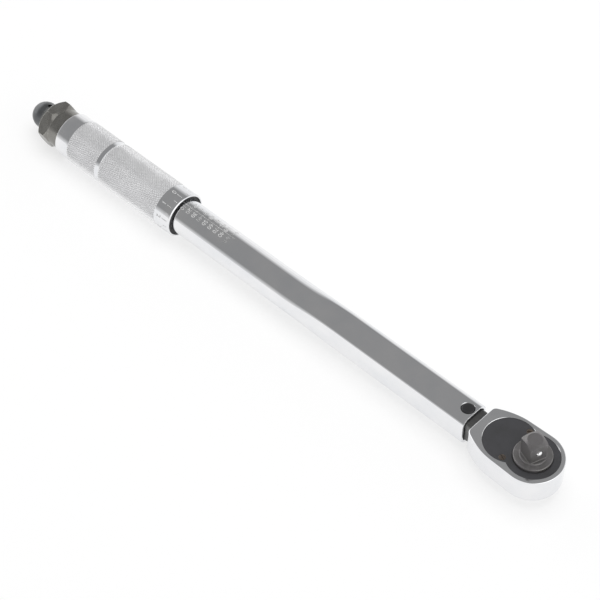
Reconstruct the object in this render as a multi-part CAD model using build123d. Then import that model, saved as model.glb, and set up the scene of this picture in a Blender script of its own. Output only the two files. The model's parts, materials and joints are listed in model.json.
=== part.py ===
from build123d import *
import math
import os

# Click-type torque wrench for 3/8 inch square drive sockets, in millimetres.
# The origin is on the drive axis, on the ring face that a socket seats against.
# +Z runs up along the drive square, +X from the handle towards the nose of the head.
# The wrench is shown locked at its lowest setting.

# ---- driving dimensions ----
SQUARE_SIDE = 9.5            # 3/8 inch drive, 9.53 nominal
SQUARE_HEIGHT = 11.5
SQUARE_TURN = -20.0          # degrees, how the drive happens to stand in the head
AXIS_Z = -9.7                # height of the tube axis, below the socket seat
TUBE_R = 10.0
TUBE_WALL = 1.5
HANDLE_R = 12.8
RUNNING = 0.08               # radial clearance of turning and sliding fits

# stations along the wrench, from the drive axis back to the end of the knob
HEAD_REAR_X = -32.1
TUBE_FRONT_X = -35.9
PIVOT_X = -40.2
ARM_END_X = -108.0
FLAT_END_X = -117.4
ROUND_END_X = -154.8
PISTON_FRONT_X = -157.0
PISTON_REAR_X = -173.0
HANDLE_FRONT_X = -235.9
HANDLE_REAR_X = -325.0
NUT_FRONT_X = -268.0
TUBE_REAR_X = -284.0

# the front of the tube is pressed to a rounded rectangle
FLAT_HALF_WIDTH = 8.75
FLAT_HALF_HEIGHT = 9.0
FLAT_CORNER_R = 4.7
ROUND_TOP_ANGLE = 23.0       # degrees of the round section that become half a flat
ROUND_SIDE_ANGLE = 24.6

# head
HEAD_TOP_Z = -1.6
HEAD_BOTTOM_Z = -16.9
FLOOR_Z = -13.9
NOSE_R = 15.8
LOBE_X = -13.8               # centre of the lobe behind the drive axis
COVER_R = 13.35
COVER_THICK = 1.4
COVER_TOP_Z = -1.8
COVER_SCREW_AT = (-10.1, 10.3)
CAM_X = -22.5                # axis of the reversing lever
CAM_R = 3.0
PAWL_PIVOT_X = -15.2
PAWL_PIN_R = 1.4

# ratchet
TEETH = 36
TOOTH_TIP_R = 11.8
TOOTH_ROOT_R = 10.8
GEAR_TOP_Z = -4.2
GEAR_BOTTOM_Z = -13.8
BOSS_R = 9.65
PAWL_ROCK = 4.3              # degrees each side of the middle
LEVER_THROW = 35.0           # degrees each side of the middle
BALL_R = 1.75
BALL_PROUD = 0.9
BALL_Z = 5.8
PUSH_ROD_R = 1.2
PUSH_ROD_TIP = 4.2           # reach of the pawl's push rod from the lever axis

# pivot, tilting block and spring
PIVOT_PIN_R = 3.2
BLOCK_LENGTH = 10.0
BLOCK_HALF_WIDTH = 3.5
BLOCK_GAP = 0.4
SPRING_R = 6.5
SPRING_WIRE_R = 1.5
SPRING_TURNS = 14

# adjusting screw and lock
SCREW_R = 4.5
COLLAR_FRONT_X = -252.0
COLLAR_REAR_X = -264.0
CHAMBER_REAR_X = COLLAR_REAR_X + 1.5   # floor of the cup, and the end of the screw in it
COLLAR_R = 8.3
WASHER_THICK = 1.6
SEAT_THICK = 4.0
LOCK_ROD_R = 2.0
LOCK_BALL_R = 1.7
LOCK_BALL_X = -256.5
CONE_BIG_R = 5.35
CONE_SMALL_R = 4.55
CONE_LENGTH = 6.0
CONE_FRONT_X = -253.6
STUD_R = 3.0
STUD_TIP_X = HANDLE_REAR_X + 5.3

# lock knob
KNOB_R = 13.3                # corners of the hexagon
KNOB_TURN = 22.0             # degrees, how its corners stand
KNOB_FRONT_X = -325.9
KNOB_RIM_R = 11.3            # round part between the hexagon and the washer
KNOB_CORNER_FRONT_X = -334.5
KNOB_CORNER_REAR_X = -338.1  # the corners are turned off at 45 degrees at both ends
DOME_X = -346.5              # centre of the round end
DOME_R = 7.7
SET_SCREW_X = -344.2
SET_SCREW_TURN = -13.0       # degrees from the top
SET_SCREW_R = 1.3
SET_SCREW_DEEP = 2.2         # how near the axis its tip comes
STUD_REAR_X = SET_SCREW_X - 3.0

LEVER_TOP_Z = HEAD_BOTTOM_Z - 0.2
LEVER_THICK = 2.4
LEVER_SEAT_Z = LEVER_TOP_Z - 1.6   # floor of the recess for the lever's screw head
SHAFT_R = 2.2                # the cam's shaft through the floor of the head
SHAFT_SQUARE = 3.0
LEVER_SCREW_R = 0.78
LEVER_SCREW_HEAD_R = 2.1
LEVER_SCREW_TOP_Z = HEAD_BOTTOM_Z + 2.8
PUSH_ROD_Z = (FLOOR_Z + GEAR_TOP_Z) / 2
BEARING_R = 7.0              # the gear's spigot in the floor of the head
SPIGOT_DEEP = 1.8
HANDLE_SCREW_X = HANDLE_REAR_X + 6.5
HANDLE_SCREW_TURNS = (160, -100)

TUBE_BORE_R = TUBE_R - TUBE_WALL
MOUTH_R = TUBE_R + 1.7       # recess for the ring in the mouth of the handle
MOUTH_X = HANDLE_FRONT_X - 2.5
PLUNGER_FRONT_X = ARM_END_X - BLOCK_LENGTH - 2 * BLOCK_GAP


# ---- shared shapes ----
def rod(x_from, x_to, radius):
    """A cylinder on the tube axis."""
    middle = Pos((x_from + x_to) / 2, 0, AXIS_Z)
    return middle * Rot(0, 90, 0) * Cylinder(radius, abs(x_to - x_from))


def post(z_from, z_to, radius, x=0.0, y=0.0):
    """A cylinder that stands along Z."""
    return Pos(x, y, (z_from + z_to) / 2) * Cylinder(radius, abs(z_to - z_from))


def turned(profile):
    """A solid turned about the tube axis, from (x, radius) points."""
    outline = Polyline([(x, 0, radius) for x, radius in profile], close=True)
    return Pos(0, 0, AXIS_Z) * revolve(make_face(outline), Axis.X, 360)


def radial(angle, x, inner, outer, radius):
    """A cylinder square to the tube axis, at an angle from straight up."""
    along = Pos(0, 0, (inner + outer) / 2) * Cylinder(radius, outer - inner)
    return Pos(x, 0, AXIS_Z) * Rot(angle, 0, 0) * along


def slab(face, z_from, z_to):
    """A flat face in XY, raised between two heights."""
    return Pos(0, 0, z_from) * extrude(face, z_to - z_from)


def coil(length, turns, mean_r, wire_r):
    """A compression spring along +Z with ends ground flat."""
    pitch = length / turns
    ground = 0.5 * wire_r
    path = Pos(0, 0, -ground) * Helix(pitch, length + 2 * ground, mean_r)
    wire = Plane(origin=path @ 0, z_dir=path % 0) * Circle(wire_r)
    whole = sweep(wire, path=path, is_frenet=True)
    room = Pos(0, 0, length / 2) * Cylinder(mean_r + 2 * wire_r, length)
    return whole & room


def save(part, name):
    export_step(part, os.path.join("parts", name + ".step"))


# ---- body tube ----
def section(x, corners, middles):
    """An eight-sided loop across the tube; a side with no middle point is straight."""
    sides = []
    for i, middle in enumerate(middles):
        start = (x, *corners[i])
        end = (x, *corners[(i + 1) % len(corners)])
        if middle is None:
            sides.append(Line(start, end))
        else:
            sides.append(ThreePointArc(start, (x, *middle), end))
    return Wire(sides)


def round_loop(radius):
    """Corner and middle points of the round section, matched to the flattened one."""
    half_top = ROUND_TOP_ANGLE
    half_side = ROUND_SIDE_ANGLE
    ends = [-half_top, half_top, 90 - half_side, 90 + half_side]
    ends += [180 - half_top, 180 + half_top, 270 - half_side, 270 + half_side]
    spans = [(a + b) / 2 for a, b in zip(ends, ends[1:] + [ends[0] + 360])]

    def at(angle):
        turn = math.radians(angle)
        return (radius * math.sin(turn), radius * math.cos(turn))

    return [at(a) for a in ends], [at(a) for a in spans]


def flat_loop(inset):
    """Corner and middle points of the flattened section."""
    w = FLAT_HALF_WIDTH - inset
    h = FLAT_HALF_HEIGHT - inset
    r = FLAT_CORNER_R - inset
    bulge = r * (1 - math.sqrt(0.5))
    corners = [(r - w, h), (w - r, h), (w, h - r), (w, r - h)]
    corners += [(w - r, -h), (r - w, -h), (-w, r - h), (-w, h - r)]
    middles = [None, (w - bulge, h - bulge), None, (w - bulge, bulge - h)]
    middles += [None, (bulge - w, bulge - h), None, (bulge - w, h - bulge)]
    return corners, middles


def blend_loops(share, inset):
    """The loop between round (share 0) and flattened (share 1)."""
    round_pts, round_mid = round_loop(TUBE_R - inset)
    flat_pts, flat_mid = flat_loop(inset)
    corners, middles = [], []
    for i, (a, b) in enumerate(zip(round_pts, flat_pts)):
        corners.append(mix(a, b, share))
        nxt = flat_pts[(i + 1) % 8]
        goal = flat_mid[i] or ((b[0] + nxt[0]) / 2, (b[1] + nxt[1]) / 2)
        middles.append(mix(round_mid[i], goal, share))
    return corners, middles


def mix(a, b, share):
    return tuple(p + (q - p) * share for p, q in zip(a, b))


def tube_body(inset, x_front, x_rear):
    """The outside of the tube, or its bore when inset by the wall."""
    steps = 6
    loops = []
    for i in range(steps + 1):
        share = i / steps
        eased = share * share * (3 - 2 * share)
        x = ROUND_END_X + (FLAT_END_X - ROUND_END_X) * share
        if i == steps:
            loops.append(section(x, *flat_loop(inset)))
        else:
            loops.append(section(x, *blend_loops(eased, inset)))
    transition = Pos(0, 0, AXIS_Z) * Solid.make_loft(loops)
    flat_face = make_face(section(FLAT_END_X, *flat_loop(inset)))
    front = Pos(0, 0, AXIS_Z) * extrude(flat_face, x_front - FLAT_END_X, dir=(1, 0, 0))
    rear = rod(x_rear, ROUND_END_X, TUBE_R - inset)
    return rear + transition + front


def body_tube():
    bore_past = 5.0
    tube = tube_body(0, TUBE_FRONT_X, TUBE_REAR_X)
    tube -= tube_body(TUBE_WALL, TUBE_FRONT_X + bore_past, TUBE_REAR_X - bore_past)
    tube -= post(AXIS_Z - 20, AXIS_Z + 20, PIVOT_PIN_R, PIVOT_X)
    return tube - nut_pin_shapes()


def pivot_pin():
    proud = 0.35
    reach = FLAT_HALF_HEIGHT + proud
    pin = post(AXIS_Z - reach, AXIS_Z + reach, PIVOT_PIN_R, PIVOT_X)
    return chamfer(pin.edges().filter_by(GeomType.CIRCLE), 0.45)


def thread_nut():
    """The nut fixed in the rear of the tube, which the adjusting screw runs through."""
    nut = rod(TUBE_REAR_X, NUT_FRONT_X, TUBE_BORE_R)
    nut = chamfer(nut.edges().filter_by(GeomType.CIRCLE), 0.4)
    nut -= rod(TUBE_REAR_X - 1, NUT_FRONT_X + 1, SCREW_R + RUNNING)
    return nut - nut_pin_shapes()


def nut_pin_shapes():
    middle = (TUBE_REAR_X + NUT_FRONT_X) / 2
    pins = [radial(side, middle, 6.0, TUBE_R - 0.1, 1.25) for side in (90, -90)]
    return Compound(pins)


# ---- head ----
def head_outline():
    """Round nose, flat cheeks and shoulders that draw in to the rear face."""
    cheek_x, cheek_y = -15.5, 15.3
    bulge = (-24.0, 13.4)
    rear_y = 9.6
    lean = math.atan2(cheek_y, cheek_x) - math.acos(NOSE_R / math.hypot(cheek_x, cheek_y))
    nose_x, nose_y = NOSE_R * math.cos(lean), NOSE_R * math.sin(lean)
    nose = ThreePointArc((nose_x, -nose_y), (NOSE_R, 0), (nose_x, nose_y))
    lines = [nose, Line((HEAD_REAR_X, rear_y), (HEAD_REAR_X, -rear_y))]
    for side in (1, -1):
        lines.append(Line((nose_x, side * nose_y), (cheek_x, side * cheek_y)))
        points = [(cheek_x, cheek_y), bulge, (HEAD_REAR_X, rear_y)]
        lines.append(ThreePointArc(*[(x, side * y) for x, y in points]))
    face = make_face(Wire(lines))
    corners = face.vertices().sort_by(Axis.X)
    face = fillet(corners[:2], 2.6)
    cheeks = [v for v in face.vertices() if abs(v.X - cheek_x) < 0.1]
    return fillet(cheeks, 5.0)


def arm():
    """The neck inside the tube and the long arm that ends at the tilting block."""
    neck_half = 6.7
    arm_half_height = 5.0
    neck_rear_x = PIVOT_X - 7.0
    neck_front_x = HEAD_REAR_X + 1.0
    middle = Pos((neck_rear_x + neck_front_x) / 2, 0, AXIS_Z)
    neck = middle * Box(neck_front_x - neck_rear_x, 2 * neck_half, 2 * neck_half)
    neck = fillet(neck.edges().filter_by(Axis.X), 2.0)
    root_x, root_half, end_half = neck_rear_x + 2, 6.3, 4.5
    corners = [(root_x, root_half), (ARM_END_X, end_half)]
    corners += [(ARM_END_X, -end_half), (root_x, -root_half)]
    plan = Polyline(corners, close=True)
    blade = slab(make_face(plan), AXIS_Z - arm_half_height, AXIS_Z + arm_half_height)
    blade = chamfer(blade.faces().sort_by(Axis.X)[0].edges(), 0.6)
    return neck + blade


def cover_outline(radius):
    """Two overlapping round lobes: one over the gear, one over the pawl."""
    return Circle(radius) + Pos(LOBE_X, 0) * Circle(radius)


def ratchet_head():
    bottom_round = 2.0
    top_round = 0.7
    head = slab(head_outline(), HEAD_BOTTOM_Z, HEAD_TOP_Z)
    head = fillet(head.faces().sort_by(Axis.Z)[0].edges(), bottom_round)
    head = fillet(head.faces().sort_by(Axis.Z)[-1].edges(), top_round)
    head += arm()
    recess_z = COVER_TOP_Z - COVER_THICK
    head -= slab(cover_outline(COVER_R + 0.07), recess_z, 1)
    head -= post(FLOOR_Z, 1, TOOTH_TIP_R + 0.3)
    head -= post(FLOOR_Z, 1, 9.3, LOBE_X)
    head -= post(FLOOR_Z, 1, CAM_R + 0.25, CAM_X)
    head -= post(FLOOR_Z - SPIGOT_DEEP, FLOOR_Z + 1, BEARING_R)
    head -= post(HEAD_BOTTOM_Z - 1, FLOOR_Z + 1, SHAFT_R + RUNNING, CAM_X)
    head -= post(FLOOR_Z - SPIGOT_DEEP, FLOOR_Z + 1, PAWL_PIN_R, PAWL_PIVOT_X)
    head -= post(AXIS_Z - 20, AXIS_Z + 20, PIVOT_PIN_R + 0.05, PIVOT_X)
    for side in (1, -1):
        x, y = COVER_SCREW_AT
        head -= post(recess_z - 5, recess_z + 1, 0.9, x, side * y)
    return head


def cover_screw(side):
    """A small slotted countersunk screw."""
    x, y = COVER_SCREW_AT
    shank = post(COVER_TOP_Z - 5.5, COVER_TOP_Z - 0.8, 0.88)
    cone = Pos(0, 0, COVER_TOP_Z - 0.5) * Cone(0.88, 1.7, 0.8)
    rim = post(COVER_TOP_Z - 0.1, COVER_TOP_Z + 0.05, 1.7)
    slot = Pos(0, 0, COVER_TOP_Z) * Rot(0, 0, 25 * side) * Box(4, 0.45, 0.8)
    return Pos(x, side * y) * (shank + cone + rim - slot)


def cover_screws():
    return Compound([cover_screw(side) for side in (1, -1)])


def cover_plate():
    plate = slab(cover_outline(COVER_R), COVER_TOP_Z - COVER_THICK, COVER_TOP_Z)
    plate = chamfer(plate.faces().sort_by(Axis.Z)[-1].edges(), 0.2)
    plate -= post(-5, 1, BOSS_R + 0.15)
    for side in (1, -1):
        x, y = COVER_SCREW_AT
        plate -= post(-5, 1, 0.95, x, side * y)
        plate -= Pos(x, side * y, COVER_TOP_Z - 0.5) * Cone(0.95, 1.8, 0.8)
        plate -= post(COVER_TOP_Z - 0.1, 1, 1.8, x, side * y)
    return plate


# ---- ratchet ----
def gear_face(clearance=0.0):
    """The toothed outline; clearance makes it larger all round."""
    pitch = 360 / TEETH
    half_tip = 0.6 + math.degrees(clearance / TOOTH_TIP_R)
    half_root = pitch / 2 - 0.8 + math.degrees(clearance / TOOTH_TIP_R)
    tip_r = TOOTH_TIP_R + clearance
    root_r = TOOTH_ROOT_R + clearance
    points = []
    for i in range(TEETH):
        for turn, radius in ((-half_root, root_r), (-half_tip, tip_r),
                             (half_tip, tip_r), (half_root, root_r)):
            angle = math.radians(i * pitch + turn)
            points.append((radius * math.cos(angle), radius * math.sin(angle)))
    return make_face(Polyline(points, close=True))


def drive_square():
    """The square, its corners turned round and its end chamfered, on a round shoulder."""
    corner_r = 6.4
    tip_r = 3.8
    chamfer_height = 1.5
    square = Rot(0, 0, SQUARE_TURN) * Pos(0, 0, SQUARE_HEIGHT / 2) * Box(
        SQUARE_SIDE, SQUARE_SIDE, SQUARE_HEIGHT
    )
    envelope = post(0, SQUARE_HEIGHT - chamfer_height, corner_r)
    envelope += Pos(0, 0, SQUARE_HEIGHT - chamfer_height / 2) * Cone(
        corner_r, tip_r, chamfer_height
    )
    shoulder = Pos(0, 0, 0.35) * Cone(6.7, 6.3, 0.7)
    return (square & envelope) + shoulder


def ball_hole(start, end, radius):
    """A cylinder out along the ball's axis, between two distances from the drive axis."""
    along = Pos((start + end) / 2, 0, BALL_Z) * Rot(0, 90, 0) * Cylinder(radius, end - start)
    return Rot(0, 0, SQUARE_TURN) * along


def drive_gear():
    gear = slab(gear_face(), GEAR_BOTTOM_Z, GEAR_TOP_Z)
    collar = post(GEAR_TOP_Z, 0, BOSS_R)
    gear += chamfer(collar.faces().sort_by(Axis.Z)[-1].edges(), 0.5)
    gear += post(FLOOR_Z - SPIGOT_DEEP + 0.2, GEAR_BOTTOM_Z, BEARING_R - RUNNING)
    gear += drive_square()
    return gear - ball_hole(-2.0, 8.0, BALL_R + 0.05)


def ball_centre():
    return SQUARE_SIDE / 2 + BALL_PROUD - BALL_R


def detent_ball():
    return Rot(0, 0, SQUARE_TURN) * Pos(ball_centre(), 0, BALL_Z) * Sphere(BALL_R)


def detent_spring():
    length = ball_centre() - BALL_R + 2.0 + 0.3
    spring = coil(length, 4, 1.15, 0.22)
    return Rot(0, 0, SQUARE_TURN) * Pos(-2.0, 0, BALL_Z) * Rot(0, 90, 0) * spring


def pawl_pin():
    top_z = COVER_TOP_Z - COVER_THICK - 0.1
    return post(FLOOR_Z - SPIGOT_DEEP, top_z, PAWL_PIN_R, PAWL_PIVOT_X)


def about(x, angle):
    """A turn about an upright line through (x, 0)."""
    return Pos(x, 0, 0) * Rot(0, 0, angle) * Pos(-x, 0, 0)


def pawl():
    """A rocking pawl with teeth at both ends, cut by the gear as it rocks."""
    blank = Polyline(
        (-9.4, 7.4), (-17.5, 6.6), (-20.2, 4.4), (-20.2, -4.4), (-17.5, -6.6), (-9.4, -7.4),
        close=True,
    )
    face = make_face(blank)
    steps = 8
    for i in range(steps + 1):
        rock = PAWL_ROCK * (2 * i / steps - 1)
        face -= about(PAWL_PIVOT_X, -rock) * gear_face(0.06)
    face -= Pos(CAM_X, 0) * Circle(PUSH_ROD_TIP + 0.25)
    face -= Pos(PAWL_PIVOT_X, 0) * Circle(PAWL_PIN_R + 0.06)
    solid = slab(face, FLOOR_Z + 0.1, GEAR_TOP_Z - 0.2)
    return about(PAWL_PIVOT_X, PAWL_ROCK) * solid


# ---- reversing lever ----
def lever_turned(part):
    """From the middle position to the forward (tightening) one."""
    return about(CAM_X, -LEVER_THROW) * part


def shaft_square(z_from, z_to):
    """The square end of the cam's shaft, which the lever fits over."""
    middle = Pos(CAM_X, 0, (z_from + z_to) / 2)
    return middle * Box(SHAFT_SQUARE, SHAFT_SQUARE, z_to - z_from)


def lever_cam():
    """The cam under the cover, its shaft through the floor and the square that turns it."""
    cam = post(FLOOR_Z + 0.1, COVER_TOP_Z - COVER_THICK - 0.2, CAM_R, CAM_X)
    cam += post(HEAD_BOTTOM_Z - 0.1, FLOOR_Z + 0.1, SHAFT_R, CAM_X)
    cam += shaft_square(LEVER_SEAT_Z + 0.1, HEAD_BOTTOM_Z)
    hole = Rot(0, 90, 0) * Cylinder(PUSH_ROD_R + 0.05, 6.0)
    cam -= Pos(CAM_X + 1.0, 0, PUSH_ROD_Z) * hole
    cam -= post(HEAD_BOTTOM_Z - 5, LEVER_SCREW_TOP_Z + 0.2, LEVER_SCREW_R + 0.02, CAM_X)
    return lever_turned(cam)


def push_rod():
    """The spring-loaded rod in the cam that holds the pawl over."""
    tail = 0.6
    shank = Rot(0, 90, 0) * Cylinder(PUSH_ROD_R, PUSH_ROD_TIP - PUSH_ROD_R - tail)
    shank = Pos((PUSH_ROD_TIP - PUSH_ROD_R + tail) / 2, 0, 0) * shank
    nose = Pos(PUSH_ROD_TIP - PUSH_ROD_R, 0, 0) * Sphere(PUSH_ROD_R)
    placed = Pos(CAM_X, 0, PUSH_ROD_Z) * (shank + nose)
    return lever_turned(placed)


def pawl_spring():
    spring = Rot(0, 90, 0) * coil(2.6, 4, 0.8, 0.16)
    placed = Pos(CAM_X - 2.0, 0, PUSH_ROD_Z) * spring
    return lever_turned(placed)


def reverse_lever():
    """The thumb lever under the head."""
    hub_r = 5.6
    tip_r = 3.4
    reach = 11.5
    bottom_z = LEVER_TOP_Z - LEVER_THICK
    plan = make_hull((Circle(hub_r) + Pos(reach, 0) * Circle(tip_r)).edges())
    lever = Pos(CAM_X, 0, 0) * slab(plan, bottom_z, LEVER_TOP_Z)
    lever = fillet(lever.faces().sort_by(Axis.Z)[0].edges(), 0.9)
    ridge = Pos(CAM_X + reach, 0, bottom_z - 0.8) * Box(3.0, 5.6, 2.4)
    lever += fillet(ridge.edges().filter_by(Axis.Y).group_by(Axis.Z)[0], 0.9)
    lever -= shaft_square(bottom_z, LEVER_TOP_Z + 1)
    lever -= post(bottom_z - 1, LEVER_SEAT_Z, LEVER_SCREW_HEAD_R + 0.1, CAM_X)
    return lever_turned(lever)


def lever_screw():
    """The slotted screw that holds the lever to its shaft."""
    head_z = LEVER_TOP_Z - LEVER_THICK + 0.1
    screw = post(head_z, LEVER_SEAT_Z, LEVER_SCREW_HEAD_R, CAM_X)
    screw += post(LEVER_SEAT_Z, LEVER_SCREW_TOP_Z, LEVER_SCREW_R, CAM_X)
    slot = Pos(CAM_X, 0, head_z) * Box(3 * LEVER_SCREW_HEAD_R, 0.5, 0.6)
    return lever_turned(screw - slot)


# ---- click mechanism ----
def tilt_block():
    """The block between the arm and the plunger; it tips over when the wrench clicks."""
    front = ARM_END_X - BLOCK_GAP
    rear = front - BLOCK_LENGTH
    flat = 1.3
    bevel = BLOCK_HALF_WIDTH - flat
    half = [(front, flat), (front - bevel, BLOCK_HALF_WIDTH)]
    half += [(rear + bevel, BLOCK_HALF_WIDTH), (rear, flat)]
    points = half + [(x, -y) for x, y in reversed(half)]
    face = make_face(Polyline(points, close=True))
    return slab(face, AXIS_Z - BLOCK_HALF_WIDTH, AXIS_Z + BLOCK_HALF_WIDTH)


def plunger():
    """The piston that the main spring pushes, with a long nose to the block."""
    nose_r = 6.0
    body_r = TUBE_BORE_R - RUNNING
    boss_r = 4.4
    groove_r = body_r - 0.8
    outline = [(PLUNGER_FRONT_X, 0), (PLUNGER_FRONT_X, nose_r - 1)]
    outline += [(PLUNGER_FRONT_X - 1, nose_r), (PISTON_FRONT_X, nose_r)]
    outline += [(PISTON_FRONT_X, body_r - 0.6), (PISTON_FRONT_X - 0.6, body_r)]
    for offset in (5.0, 10.0):
        x = PISTON_FRONT_X - offset
        outline += [(x, body_r), (x, groove_r), (x - 1.5, groove_r), (x - 1.5, body_r)]
    outline += [(PISTON_REAR_X, body_r), (PISTON_REAR_X, boss_r)]
    outline += [(PISTON_REAR_X - 6, boss_r - 0.6), (PISTON_REAR_X - 6, 0)]
    return turned(outline)


def seat_front_x():
    return COLLAR_FRONT_X + WASHER_THICK + SEAT_THICK


def main_spring():
    gap = 0.05
    length = PISTON_REAR_X - seat_front_x() - 2 * gap
    spring = coil(length, SPRING_TURNS, SPRING_R, SPRING_WIRE_R)
    return Pos(seat_front_x() + gap, 0, AXIS_Z) * Rot(0, 90, 0) * spring


def spring_seat():
    flange_r = TUBE_BORE_R - 0.2
    front = seat_front_x()
    rear = COLLAR_FRONT_X + WASHER_THICK
    outline = [(rear, 0), (rear, flange_r), (front, flange_r), (front, 4.6)]
    outline += [(front + 7, 4.6), (front + 8, 3.6), (front + 8, 0)]
    return turned(outline)


def thrust_washer():
    return rod(COLLAR_FRONT_X, COLLAR_FRONT_X + WASHER_THICK, TUBE_BORE_R - 0.3)


# ---- handle ----
def handle_sleeve():
    """The grip, with a plain groove between its two knurled lengths."""
    bore_r = TUBE_R + RUNNING
    bevel = 1.0
    groove_x = -292.3
    groove_half = 0.9
    groove_r = HANDLE_R - 0.45
    outline = [(HANDLE_REAR_X, bore_r), (HANDLE_REAR_X, HANDLE_R - 0.6)]
    outline += [(HANDLE_REAR_X + 0.6, HANDLE_R), (groove_x - groove_half - 0.45, HANDLE_R)]
    outline += [(groove_x - groove_half, groove_r), (groove_x + groove_half, groove_r)]
    outline += [(groove_x + groove_half + 0.45, HANDLE_R), (HANDLE_FRONT_X - bevel, HANDLE_R)]
    outline += [(HANDLE_FRONT_X, HANDLE_R - bevel), (HANDLE_FRONT_X, MOUTH_R)]
    outline += [(MOUTH_X, MOUTH_R), (MOUTH_X, bore_r)]
    return turned(outline) - grub_screw_shapes()


def guide_ring():
    """The dark nylon ring in the mouth of the handle, which runs on the tube."""
    front = HANDLE_FRONT_X - 1.3
    bore_r = TUBE_R + RUNNING
    outline = [(MOUTH_X, bore_r), (MOUTH_X, MOUTH_R), (front, MOUTH_R), (front, bore_r)]
    return turned(outline)


def plug_front_x():
    return HANDLE_REAR_X + 12.3


def end_plug():
    """Closes the handle, carries the adjusting screw and is tapped for the knob's stud."""
    socket_x = HANDLE_REAR_X + 5.8
    bore_r = TUBE_R + RUNNING
    outline = [(HANDLE_REAR_X, STUD_R + RUNNING), (HANDLE_REAR_X, bore_r)]
    outline += [(plug_front_x(), bore_r), (plug_front_x(), SCREW_R)]
    outline += [(socket_x, SCREW_R), (socket_x, STUD_R + RUNNING)]
    return turned(outline) - grub_screw_shapes()


def grub_screw_blank(turn):
    return radial(turn, HANDLE_SCREW_X, 7.0, HANDLE_R - 0.3, 1.5)


def grub_screw_shapes():
    return Compound([grub_screw_blank(turn) for turn in HANDLE_SCREW_TURNS])


def grub_screws():
    """Two socket screws that hold the handle to its end plug."""
    key_deep = 1.2
    key = Pos(0, 0, HANDLE_R - 0.3 - key_deep) * extrude(RegularPolygon(0.75, 6), 2 * key_deep)
    screws = []
    for turn in HANDLE_SCREW_TURNS:
        placed_key = Pos(HANDLE_SCREW_X, 0, AXIS_Z) * Rot(turn, 0, 0) * key
        screws.append(grub_screw_blank(turn) - placed_key)
    return Compound(screws)


def adjusting_screw():
    outline = [(HANDLE_REAR_X + 5.8, LOCK_ROD_R + RUNNING), (HANDLE_REAR_X + 5.8, SCREW_R)]
    outline += [(CHAMBER_REAR_X, SCREW_R), (CHAMBER_REAR_X, LOCK_ROD_R + RUNNING)]
    return turned(outline)


def lock_collar():
    """The cup on the screw's front end that holds the two lock balls."""
    chamber_r = 5.7
    outline = [(COLLAR_REAR_X, SCREW_R), (COLLAR_REAR_X, COLLAR_R - 0.5)]
    outline += [(COLLAR_REAR_X + 0.5, COLLAR_R), (COLLAR_FRONT_X, COLLAR_R)]
    outline += [(COLLAR_FRONT_X, chamber_r), (CHAMBER_REAR_X, chamber_r)]
    outline += [(CHAMBER_REAR_X, SCREW_R)]
    collar = turned(outline)
    for turn in (0, 180):
        collar -= radial(turn, LOCK_BALL_X, 5.0, 10.0, LOCK_BALL_R + 0.05)
    return collar


# ---- lock ----
def cone_radius(x):
    share = (CONE_FRONT_X - x) / CONE_LENGTH
    return CONE_SMALL_R + (CONE_BIG_R - CONE_SMALL_R) * share


def lock_rod():
    """The rod through the adjusting screw; its cone spreads the lock balls."""
    cone_rear = CONE_FRONT_X - CONE_LENGTH
    outline = [(STUD_TIP_X + 0.1, 0), (STUD_TIP_X + 0.1, LOCK_ROD_R)]
    outline += [(cone_rear, LOCK_ROD_R), (cone_rear, CONE_BIG_R)]
    outline += [(CONE_FRONT_X, CONE_SMALL_R), (CONE_FRONT_X, 0)]
    return turned(outline)


def lock_ball(turn):
    slope = (CONE_BIG_R - CONE_SMALL_R) / CONE_LENGTH
    reach = cone_radius(LOCK_BALL_X) + LOCK_BALL_R * math.hypot(1, slope) + 0.03
    return Pos(LOCK_BALL_X, 0, AXIS_Z) * Rot(turn, 0, 0) * Pos(0, 0, reach) * Sphere(LOCK_BALL_R)


def set_screw_hole(inner, outer, radius):
    return radial(SET_SCREW_TURN, SET_SCREW_X, inner, outer, radius)


def knob_stud():
    stud = rod(STUD_TIP_X, STUD_REAR_X, STUD_R)
    stud = chamfer(stud.faces().sort_by(Axis.X)[-1].edges(), 0.5)
    return stud - set_screw_hole(SET_SCREW_DEEP, STUD_R + 1, SET_SCREW_R)


def knob_hexagon():
    """A hexagon whose ends are turned to cones that run in to the rim and the boss."""
    rim_x = KNOB_CORNER_FRONT_X + KNOB_R - KNOB_RIM_R
    boss_x = KNOB_CORNER_REAR_X - (KNOB_R - DOME_R)
    outline = [(boss_x, 0), (boss_x, DOME_R), (KNOB_CORNER_REAR_X, KNOB_R)]
    outline += [(KNOB_CORNER_FRONT_X, KNOB_R), (rim_x, KNOB_RIM_R), (rim_x, 0)]
    across = Rot(0, 90, 0) * Rot(0, 0, KNOB_TURN) * RegularPolygon(KNOB_R, 6)
    prism = Pos(boss_x, 0, AXIS_Z) * extrude(across, rim_x - boss_x, dir=(1, 0, 0))
    return prism & turned(outline)


def lock_knob():
    """The hexagon, a round rim in front of it and a domed boss behind."""
    knob = knob_hexagon()
    knob += rod(KNOB_CORNER_FRONT_X, KNOB_FRONT_X, KNOB_RIM_R)
    knob += rod(DOME_X, KNOB_CORNER_REAR_X, DOME_R)
    dome = Pos(DOME_X, 0, AXIS_Z) * Sphere(DOME_R)
    behind = Pos(DOME_X - DOME_R, 0, AXIS_Z) * Box(2 * DOME_R, 3 * DOME_R, 3 * DOME_R)
    knob += dome & behind
    knob -= rod(KNOB_FRONT_X + 1, STUD_REAR_X, STUD_R)
    return knob - set_screw_hole(SET_SCREW_DEEP, KNOB_R + 5, SET_SCREW_R)


def knob_set_screw():
    """Holds the knob to its stud."""
    return set_screw_hole(SET_SCREW_DEEP, 6.5, SET_SCREW_R)


def knob_washer():
    outline = [(KNOB_FRONT_X, STUD_R + 0.2), (KNOB_FRONT_X, 11.3)]
    outline += [(HANDLE_REAR_X - 0.05, 11.3), (HANDLE_REAR_X - 0.05, STUD_R + 0.2)]
    return turned(outline)


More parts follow.
